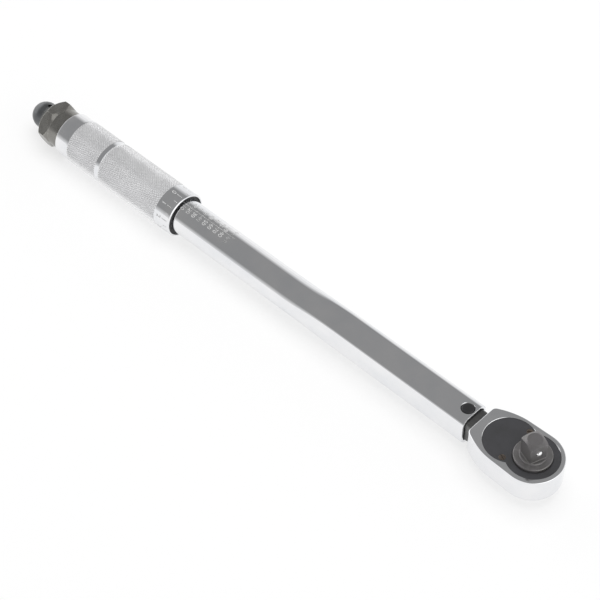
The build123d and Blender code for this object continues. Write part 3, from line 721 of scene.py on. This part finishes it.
# ---- knob ----
def lock_knob():
    """A hexagon turned to cones at both ends, with a round rim in front and a domed boss."""
    count = 144
    turns = [KNOB_CORNER_TURN + math.tau * i / count for i in range(count)]

    def ring(place):
        out = []
        for t in turns:
            off = (t - KNOB_CORNER_TURN) % (math.pi / 3) - math.pi / 6
            x, r = place(KNOB_R * math.cos(math.pi / 6) / math.cos(off))
            out.append((x, r * math.sin(t), AXIS_Z + r * math.cos(t)))
        return out

    def plain(x, r):
        return ring(lambda reach: (x, r))

    rings = []
    for k in range(17):
        t = math.pi / 2 * k / 16
        rings.append(plain(DOME_X - DOME_R * math.cos(t), DOME_R * math.sin(t)))
    shoulder = KNOB_CORNER_REAR_X - (KNOB_R - DOME_R)
    rings.append(plain(shoulder, DOME_R))
    rings.append(ring(lambda reach: (KNOB_CORNER_REAR_X - (KNOB_R - reach), reach)))
    rings.append(ring(lambda reach: (KNOB_CORNER_FRONT_X + (KNOB_R - reach), reach)))
    rings.append(plain(KNOB_CORNER_FRONT_X + (KNOB_R - KNOB_RIM_R), KNOB_RIM_R))
    rings += [plain(knob_high.x - 0.3, KNOB_RIM_R), plain(knob_high.x, KNOB_RIM_R - 0.3)]
    bore_end = SET_SCREW_X - 3
    stud_r = 3.0
    rings += [plain(knob_high.x, stud_r), plain(bore_end, stud_r), plain(bore_end, 0.0)]
    knob = Skin().stack(rings).piece("knob_domed")
    round_edges(knob, 0.14, 20, 2)
    set_screw_r, set_screw_turn = 1.3, math.radians(-13)
    combine(knob, radial_rod(SET_SCREW_X, set_screw_turn, 2.2, 20.0, set_screw_r))
    smooth(knob, 14)
    steels = [materials["knob_steel"], materials["dome_steel"]]
    return dress(knob, "lock_knob", steels, ["lock_knob"],
                 lambda centre, normal: 1 if centre.x < shoulder else 0)


# ---- head ----
def arc_through(a, b, c, count):
    """Points on the circle through three points, from a to c."""
    ax, ay, bx, by, cx, cy = *a, *b, *c
    d = 2 * (ax * (by - cy) + bx * (cy - ay) + cx * (ay - by))
    sa, sb, sc = ax * ax + ay * ay, bx * bx + by * by, cx * cx + cy * cy
    ux = (sa * (by - cy) + sb * (cy - ay) + sc * (ay - by)) / d
    uy = (sa * (cx - bx) + sb * (ax - cx) + sc * (bx - ax)) / d
    radius = math.dist(a, (ux, uy))
    start = math.atan2(ay - uy, ax - ux)
    sweep = (math.atan2(cy - uy, cx - ux) - start + math.pi) % math.tau - math.pi
    out = []
    for k in range(count + 1):
        t = start + sweep * k / count
        out.append((ux + radius * math.cos(t), uy + radius * math.sin(t)))
    return out


def round_corner(path, corner, reach):
    """Replaces what is near a corner of a path with a curve."""
    i = path.index(corner)
    first = next(k for k in range(i, -1, -1) if math.dist(path[k], corner) > reach)
    last = next(k for k in range(i, len(path)) if math.dist(path[k], corner) > reach)
    start = between(corner, path[first], reach / math.dist(path[first], corner))
    end = between(corner, path[last], reach / math.dist(path[last], corner))
    curve = []
    for k in range(9):
        t = k / 8
        curve.append(between(between(start, corner, t), between(corner, end, t), t))
    return path[:first + 1] + curve + path[last:]


def spaced(path, count):
    """Evenly spaced points on a closed path."""
    lengths = [math.dist(p, path[(i + 1) % len(path)]) for i, p in enumerate(path)]
    total = sum(lengths)
    out, i, done = [], 0, 0.0
    for k in range(count):
        goal = total * k / count
        while done + lengths[i] < goal:
            done += lengths[i]
            i += 1
        share = (goal - done) / max(lengths[i], 1e-9)
        out.append(between(path[i], path[(i + 1) % len(path)], share))
    return out


def head_outline():
    """The plan of the head: round nose, flat cheeks and shoulders that draw in to the neck."""
    cheek, bulge, rear = (-15.5, 15.3), (-24.0, 13.4), (HEAD_REAR_X, 9.6)
    lean = math.atan2(cheek[1], cheek[0]) - math.acos(NOSE_R / math.hypot(*cheek))
    nose = [(NOSE_R * math.cos(lean * k / 40), NOSE_R * math.sin(lean * k / 40))
            for k in range(41)]
    shoulder = arc_through(cheek, bulge, rear, 16)
    shoulder[0], shoulder[-1] = cheek, rear
    half = nose + shoulder + [(HEAD_REAR_X, 0.0)]
    half = round_corner(half, cheek, 2.0)
    half = round_corner(half, rear, 1.9)
    mirrored = [(x, -y) for x, y in reversed(half[1:-1])]
    return spaced(half + mirrored, 220)


def inset(path, distance):
    """A closed path moved inwards; the path runs anticlockwise."""
    out = []
    for i, (x, y) in enumerate(path):
        before, after = path[i - 1], path[(i + 1) % len(path)]
        dx, dy = after[0] - before[0], after[1] - before[1]
        length = math.hypot(dx, dy)
        out.append((x - dy / length * distance, y + dx / length * distance))
    return out


def at_height(path, z):
    return [(x, y, z) for x, y in path]


def slab(path, z_low, z_high, low_round, high_round, steps=6):
    """An outline raised between two heights, with rounded rims."""
    rings = []
    for k in range(steps + 1):
        t = math.pi / 2 * k / steps
        rim = inset(path, low_round * (1 - math.sin(t)))
        rings.append(at_height(rim, z_low + low_round * (1 - math.cos(t))))
    for k in range(steps + 1):
        t = math.pi / 2 * k / steps
        rim = inset(path, high_round * (1 - math.cos(t)))
        rings.append(at_height(rim, z_high - high_round * (1 - math.sin(t))))
    return Skin().stack(rings)


def rounded_box_ring(x, half_width, half_height, corner, steps=5):
    out = []
    for quarter in range(4):
        sy = (1, 1, -1, -1)[quarter]
        sz = (1, -1, -1, 1)[quarter]
        for k in range(steps + 1):
            t = math.pi / 2 * (quarter + k / steps)
            y = sy * (half_width - corner) + corner * math.sin(t)
            z = sz * (half_height - corner) + corner * math.cos(t)
            out.append((x, y, AXIS_Z + z))
    return out


def head_arm():
    """The neck and the long arm that reaches back through the tube."""
    neck, neck_rear = 6.7, PIN_X - 7.0
    sections = [(HEAD_REAR_X + 1, neck, neck, 2.0), (neck_rear + 0.8, neck, neck, 2.0)]
    sections += [(neck_rear, neck - 0.8, neck - 0.8, 1.6), (neck_rear - 0.4, 6.3, 5.0, 0.6)]
    sections += [(head_low.x + 0.6, 4.5, 5.0, 0.6), (head_low.x, 3.9, 4.4, 0.6)]
    return Skin().stack([rounded_box_ring(*s) for s in sections]).piece("tool")


def lobes(radius, count=96):
    """The outline of two overlapping circles, one about the drive and one about the pawl."""
    waist_x = LOBE_X / 2
    half = math.acos(waist_x / radius)
    front = [(radius * math.cos(t), radius * math.sin(t))
             for t in (half * (2 * k / count - 1) for k in range(count + 1))]
    rear = [(LOBE_X - x, -y) for x, y in front]
    return front + rear[1:-1]


def head_forging():
    """The forging, with its pockets, its seat for the cover and its neck and arm."""
    cover_seat = cover_low.z
    pocket_floor, spigot = -13.9, 1.8
    gear_r, pawl_r, cam_r, spigot_r, shaft_r, pawl_pin_r = 12.1, 9.3, 3.25, 7.0, 2.28, 1.4
    pawl_pin_x = -15.2
    outline = head_outline()
    head = slab(outline, lever_top_z + 0.2, head_high.z, 2.0, 0.7).piece("head_forging")
    combine(head, head_arm(), "UNION")
    mouth = [at_height(lobes(COVER_R + 0.07), z) for z in (cover_seat, head_high.z - 0.18)]
    mouth.append(at_height(lobes(COVER_R + 0.57), head_high.z + 0.32))
    combine(head, Skin().stack(mouth).piece("tool"))
    combine(head, post(pocket_floor, 1, gear_r, count=144))
    combine(head, post(pocket_floor, 1, pawl_r, LOBE_X))
    combine(head, post(pocket_floor, 1, cam_r, CAM_X))
    combine(head, post(pocket_floor - spigot, pocket_floor + 1, spigot_r))
    combine(head, post(pocket_floor - 6, pocket_floor + 1, shaft_r, CAM_X))
    combine(head, post(pocket_floor - spigot, pocket_floor + 1, pawl_pin_r, pawl_pin_x, count=32))
    combine(head, post(AXIS_Z - 20, AXIS_Z + 20, PIN_R + 0.05, PIN_X, count=64))
    for side in (1, -1):
        combine(head, post(cover_seat - 5, 1, 0.9, SCREW_X, side * SCREW_Y, count=24))
    smooth(head, 32)

    def rule(centre, normal):
        if centre.x < HEAD_REAR_X - 0.02:
            return 1
        in_lobe = min(math.hypot(centre.x, centre.y), math.hypot(centre.x - LOBE_X, centre.y))
        inside = pocket_floor - 2 < centre.z < head_high.z - 0.3
        return 2 if in_lobe < COVER_R and inside else 0

    return dress(head, "head",
                 [materials["chrome_head"], neck_dark, materials["bare_steel"]],
                 ["ratchet_head"], rule)


def cover_plate():
    """A flat plate with a broken edge, a hole for the drive and two countersinks."""
    rings = [at_height(lobes(COVER_R), cover_low.z)]
    for drop, draw in ((0.22, 0.0), (0.1, 0.04), (0.03, 0.12), (0.0, 0.25)):
        rings.append(at_height(lobes(COVER_R - draw), cover_high.z - drop))
    plate = Skin().stack(rings).piece("cover_two_lobed")
    hole_r = 9.8
    combine(plate, post(cover_low.z - 1, 1, hole_r, count=144))
    combine(plate, post(cover_high.z - 0.16, cover_high.z + 0.2, hole_r, end_radius=10.16,
                        count=144))
    for side in (1, -1):
        y = side * SCREW_Y
        combine(plate, post(cover_low.z - 1, 1, 0.95, SCREW_X, y, count=48))
        combine(plate, post(cover_high.z - 0.9, cover_high.z - 0.1, 0.95, SCREW_X, y,
                            end_radius=1.8, count=48))
        combine(plate, post(cover_high.z - 0.1, 1, 1.82, SCREW_X, y, count=48))
    smooth(plate, 28)
    return dress(plate, "head", [materials["cover_black"]], ["cover_plate"])


def cover_screw(name, side, stands_for=()):
    """A countersunk screw with a slightly domed, slotted head."""
    top = cover_high.z
    profile = [(top - 5.5, 0.0), (top - 5.5, 0.7), (top - 5.2, 0.88), (top - 0.9, 0.88)]
    profile += [(top - 0.12, 1.68), (top - 0.02, 1.7), (top + 0.05, 1.1), (top + 0.05, 0.0)]
    path = soften(profile, 0.08, closed=False)
    rings = [around_z(z, r, 48, SCREW_X, side * SCREW_Y) for z, r in path]
    screw = Skin().stack(rings).piece(name)
    turn = math.radians(25 * side)
    half_long, half_wide = 2.0, 0.225
    slot = []
    for u, v in ((-half_long, -half_wide), (half_long, -half_wide),
                 (half_long, half_wide), (-half_long, half_wide)):
        slot.append((SCREW_X + u * math.cos(turn) - v * math.sin(turn),
                     side * SCREW_Y + u * math.sin(turn) + v * math.cos(turn)))
    combine(screw, Skin().stack([at_height(slot, top - 0.42), at_height(slot, top + 1)])
            .piece("tool"))
    smooth(screw)
    return dress(screw, "head", [materials["yellow_zinc"]], stands_for)


# ---- drive ----
def ball_height():
    """Height of the detent ball's centre."""
    low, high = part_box("detent_ball")
    return ((low + high) / 2 / MM).z


def gear_ring(z):
    """The toothed outline, starting at the tooth nearest a corner of the square."""
    pitch = math.tau / TEETH
    half_tip = math.radians(0.6)
    half_root = pitch / 2 - math.radians(0.8)
    out = []
    for i in range(TEETH):
        middle = SQUARE_TURN + (i - 4) * pitch
        for turn, radius in ((-half_root, 10.8), (-half_tip, 11.8),
                             (half_tip, 11.8), (half_root, 10.8)):
            t = middle + turn
            out.append((radius * math.cos(t), radius * math.sin(t), z))
    return out


def drive_turns():
    """Angles round the drive: close together where the square's corners are turned."""
    flat = math.radians(42.06)
    out = []
    for quarter in range(4):
        start = SQUARE_TURN + quarter * math.pi / 2
        out += [start - flat + 2 * flat * k / 31 for k in range(32)]
        corner = math.pi / 2 - 2 * flat
        out += [start + flat + corner * k / 5 for k in range(1, 5)]
    return out


def drive_spindle():
    """Gear, boss and drive square in one, with the bore for the detent ball."""
    top, boss_r, corner_r, tip_r, chamfer = gear_high.z, 9.65, 6.4, 3.8, 1.5
    turns = drive_turns()

    def ring(place):
        out = []
        for t in turns:
            off = (t - SQUARE_TURN + math.pi / 4) % (math.pi / 2) - math.pi / 4
            z, r = place(SQUARE_HALF / math.cos(off))
            out.append((r * math.cos(t), r * math.sin(t), z))
        return out

    def plain(z, r):
        return ring(lambda reach: (z, r))

    gear_bottom, gear_top = -13.8, -4.2
    rings = [plain(gear_low.z, 6.92), plain(gear_bottom, 6.92), gear_ring(gear_bottom)]
    rings += [gear_ring(gear_top), plain(gear_top, boss_r), plain(-0.5, boss_r)]
    rings += [plain(-0.36, boss_r - 0.06), plain(-0.06, boss_r - 0.36), plain(0, boss_r - 0.5)]
    rings += [plain(0, 6.9), plain(0.08, 6.72), plain(0.3, 6.6), plain(0.62, 6.45), plain(0.7, 6.3)]
    foot = 0.35
    for k in range(5):
        t = math.pi / 2 * k / 4
        lift, out_by = foot * (1 - math.cos(t)), foot * (1 - math.sin(t))
        rings.append(ring(lambda reach, z=0.7 + lift, d=out_by:
                          (z, min(min(reach, corner_r) + d, 6.28))))
    slope = chamfer / (corner_r - tip_r)

    def shoulder(reach):
        kept = min(reach, corner_r)
        return (top - chamfer + (corner_r - kept) * slope, kept)

    rings += [ring(shoulder), plain(top, tip_r)]
    spindle = Skin().stack(rings).piece("drive_spindle")
    ball_z = ball_height()
    out = Vector((math.cos(SQUARE_TURN), math.sin(SQUARE_TURN), 0))
    across = Vector((-out.y, out.x, 0))

    def ball_ring(reach, radius):
        middle = out * reach + Vector((0, 0, ball_z))
        points = []
        for i in range(48):
            t = math.tau * i / 48
            rise = Vector((0, 0, radius * math.sin(t)))
            points.append(tuple(middle + across * radius * math.cos(t) + rise))
        return points

    bore_r = 1.8
    hole = [ball_ring(-2, bore_r), ball_ring(SQUARE_HALF - 0.12, bore_r),
            ball_ring(SQUARE_HALF + 0.3, bore_r + 0.4)]
    combine(spindle, Skin().stack(hole).piece("tool"))
    smooth(spindle, 26)
    return dress(spindle, "drive", [materials["drive_steel"]], ["drive_gear"])


# ---- springs ----
def coil(name, start, along, length, turns, radius, wire, segments=28):
    """A spring from a point along a direction, with closed ends ground flat."""
    along = Vector(along).normalized()
    side = along.orthogonal().normalized()
    other = along.cross(side)
    closed = 1.0
    count = int(turns * segments)
    skin = Skin()
    loops = []
    for k in range(count + 1):
        t = k / segments
        if t < closed:
            rise = 2 * wire * t
        elif t > turns - closed:
            rise = length - 2 * wire * (turns - t)
        else:
            share = (t - closed) / (turns - 2 * closed)
            rise = 2 * wire + (length - 4 * wire) * share
        a = math.tau * t
        outward = side * math.cos(a) + other * math.sin(a)
        ring = []
        for i in range(12):
            b = math.tau * i / 12
            reach = radius + wire * math.cos(b)
            height = min(max(rise + wire * math.sin(b), 0.0), length)
            ring.append(tuple(Vector(start) + outward * reach + along * height))
        loops.append(skin.ring(ring))
    for a, b in zip(loops, loops[1:]):
        skin.join(a, b)
    skin.faces += [tuple(loops[0]), tuple(loops[-1])]
    piece = skin.piece(name)
    smooth(piece, 50)
    return piece


def main_spring():
    """The main spring, wound along the tube axis over the CAD node's length."""
    steel = [materials["spring_steel"]]
    length = spring_high.x - spring_low.x
    wire = 1.5
    radius = spring_high.y - wire
    start = (spring_low.x, 0, AXIS_Z)
    main = coil("main_spring_wound", start, (1, 0, 0), length, 14, radius, wire)
    dress(main, "tube", steel, ["main_spring"])
    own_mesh(main)


def small_spring(name, node, body, start, turn, length, radius, wire):
    """A little spring that lies across the tool."""
    along = (math.cos(turn), math.sin(turn), 0)
    made = coil(name, start, along, length, 4, radius, wire, 20)
    dress(made, body, [materials["spring_steel"]], [node])
    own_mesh(made)


def detent_spring():
    inner = -2.0
    start = (inner * math.cos(SQUARE_TURN), inner * math.sin(SQUARE_TURN), ball_height())
    small_spring("detent_spring_wound", "detent_spring", "drive", start,
                 SQUARE_TURN, 4.45, 1.15, 0.22)


def pawl_spring():
    low, high = corners("pawl_spring")
    rear = -2.0
    start = (CAM_X + rear * math.cos(LEVER_TURN), rear * math.sin(LEVER_TURN), (low.z + high.z) / 2)
    small_spring("pawl_spring_wound", "pawl_spring", "lever", start,
                 LEVER_TURN, 2.6, 0.8, 0.16)


# ---- lever ----
def lever_outline(reach, hub_r, tip_r):
    """Two circles joined by their outer tangents."""
    lean = math.acos((hub_r - tip_r) / reach)
    out = []
    for k in range(25):
        t = -lean + 2 * lean * k / 24
        out.append((reach + tip_r * math.cos(t), tip_r * math.sin(t)))
    for k in range(49):
        t = lean + (math.tau - 2 * lean) * k / 48
        out.append((hub_r * math.cos(t), hub_r * math.sin(t)))
    return out


def turned_path(path, x, y, turn):
    return [(x + u * math.cos(turn) - v * math.sin(turn),
             y + u * math.sin(turn) + v * math.cos(turn)) for u, v in path]


def reversing_lever():
    """The lever under the head, with three ridges for the thumb."""
    turn = LEVER_TURN
    reach = 11.5
    top, bottom = lever_top_z, lever_top_z - 2.4
    outline = spaced(lever_outline(reach, 5.6, 3.4), 140)
    outline = turned_path(outline, CAM_X, 0, turn)
    lever = slab(outline, bottom, top, 0.9, 0.35).piece("reversing_lever_cast")
    for k in (-1, 0, 1):
        ridge = lever_outline(0.01 + 3.6, 0.55, 0.549)
        ridge = [(v, u - 1.8) for u, v in reversed(ridge)]
        ridge = [(reach + 0.2 + 1.45 * k + u, v) for u, v in ridge]
        ridge = turned_path(spaced(ridge, 48), CAM_X, 0, turn)
        height = 2.0 - 0.35 * abs(k)
        tool = slab(ridge, bottom - height, bottom + 0.6, 0.4, 0.02, 4).piece("tool")
        combine(lever, tool, "UNION")
    square = [(1.5, -1.5), (1.5, 1.5), (-1.5, 1.5), (-1.5, -1.5)]
    square = turned_path(square, CAM_X, 0, turn)
    combine(lever, Skin().stack([at_height(square, bottom - 1), at_height(square, top + 1)])
            .piece("tool"))
    combine(lever, post(bottom - 1, top - 1.6, 2.2, CAM_X, count=48))
    smooth(lever, 32)
    return dress(lever, "lever", [materials["lever_chrome"]], ["reverse_lever"])


# ---- stage ----
def floor():
    size = 6.0
    data = bpy.data.meshes.new("floor")
    low = cad_box[0][2]
    data.from_pydata([(-size, -size, low), (size, -size, low), (size, size, low),
                      (-size, size, low)], [], [(0, 1, 2, 3)])
    plane = bpy.data.objects.new("floor", data)
    bpy.context.scene.collection.objects.link(plane)
    material = bpy.data.materials.new("floor_white")
    material.use_nodes = True
    shader = material.node_tree.nodes["Principled BSDF"]
    shader.inputs["Base Color"].default_value = (0.30, 0.30, 0.30, 1)
    shader.inputs["Roughness"].default_value = 0.9
    shader.inputs["Emission Color"].default_value = (1, 1, 1, 1)
    shader.inputs["Emission Strength"].default_value = 0.68
    data.materials.append(material)


def tent():
    """A white tent with one grey ceiling panel over the tool, soft at its edges."""
    wall, ceiling, end_wall = (0.92,) * 3, (0.30,) * 3, (1.5,) * 3
    panel_centre, panel_half, panel_edge = (math.radians(a) for a in (10, 60, 25))
    world = bpy.data.worlds.new("tent")
    bpy.context.scene.world = world
    world.use_nodes = True
    tree = world.node_tree
    direction = add(tree, "ShaderNodeTexCoord").outputs["Generated"]
    parts = add(tree, "ShaderNodeSeparateXYZ")
    tree.links.new(direction, parts.inputs[0])

    def math_node(operation, first, second=None):
        node = add(tree, "ShaderNodeMath", operation=operation)
        tree.links.new(first, node.inputs[0])
        if isinstance(second, float):
            node.inputs[1].default_value = second
        elif second is not None:
            tree.links.new(second, node.inputs[1])
        return node.outputs[0]

    sideways = math_node("MULTIPLY", parts.outputs["Y"], -1.0)
    lean = math_node("ARCTAN2", sideways, parts.outputs["Z"])
    off_centre = math_node("ABSOLUTE", math_node("SUBTRACT", lean, panel_centre))
    beyond = ranged(tree, off_centre, panel_half, panel_half + panel_edge, 0.0, 1.0)
    round_about = blended(tree, beyond, ceiling, wall)
    ends = ranged(tree, math_node("ABSOLUTE", parts.outputs["X"]), 0.62, 0.86, 0.0, 1.0)
    tone = blended(tree, ends, round_about, end_wall)
    tree.links.new(tone, tree.nodes["Background"].inputs["Color"])


def lamp(name, place, energy, size):
    """A round soft light that points at the middle of the tool."""
    data = bpy.data.lights.new(name, "AREA")
    data.energy = energy
    data.shape = "DISK"
    data.size = size
    made = bpy.data.objects.new(name, data)
    made.location = place
    aim = Vector((-0.17, 0, 0)) - Vector(place)
    made.rotation_euler = aim.to_track_quat("-Z", "Y").to_euler()
    bpy.context.scene.collection.objects.link(made)
    return made


def camera():
    azimuth, elevation = math.radians(43.75), math.radians(49.15)
    aim = Vector((-0.1205, -0.0328, 0.0419))
    distance = 0.929
    back = Vector((math.sin(azimuth) * math.cos(elevation),
                   -math.cos(azimuth) * math.cos(elevation), math.sin(elevation)))
    data = bpy.data.cameras.new("camera")
    data.lens = 117.5
    data.sensor_width = 36
    data.clip_start = 0.01
    made = bpy.data.objects.new("camera", data)
    made.location = aim + back * distance
    made.rotation_euler = back.to_track_quat("Z", "Y").to_euler()
    bpy.context.scene.collection.objects.link(made)
    bpy.context.scene.camera = made


def dress_frame():
    """Materials and smooth shading for the CAD nodes that still show."""
    for part in frame["record"]["subparts"]:
        node = frame["nodes"][part["node"]]
        if node.hide_render:
            continue
        node.data.materials.clear()
        node.data.materials.append(materials[part["material_slot"]])
        node.data.shade_smooth()
        node.data.set_sharp_from_angle(angle=math.radians(25))


tube_shell()
pivot_pin()
handle_grip()
handle_front_band()
lock_knob()
head_forging()
cover_plate()
cover_screw("cover_screw_left", 1, ["cover_screws"])
cover_screw("cover_screw_right", -1)
drive_spindle()
reversing_lever()
main_spring()
detent_spring()
pawl_spring()
dress_frame()
floor()
tent()
overhead = lamp("overhead", (-0.1, 0.2, 1.6), 18, 1.6)
overhead.visible_glossy = False
camera()
bpy.context.scene.view_settings.view_transform = "Standard"
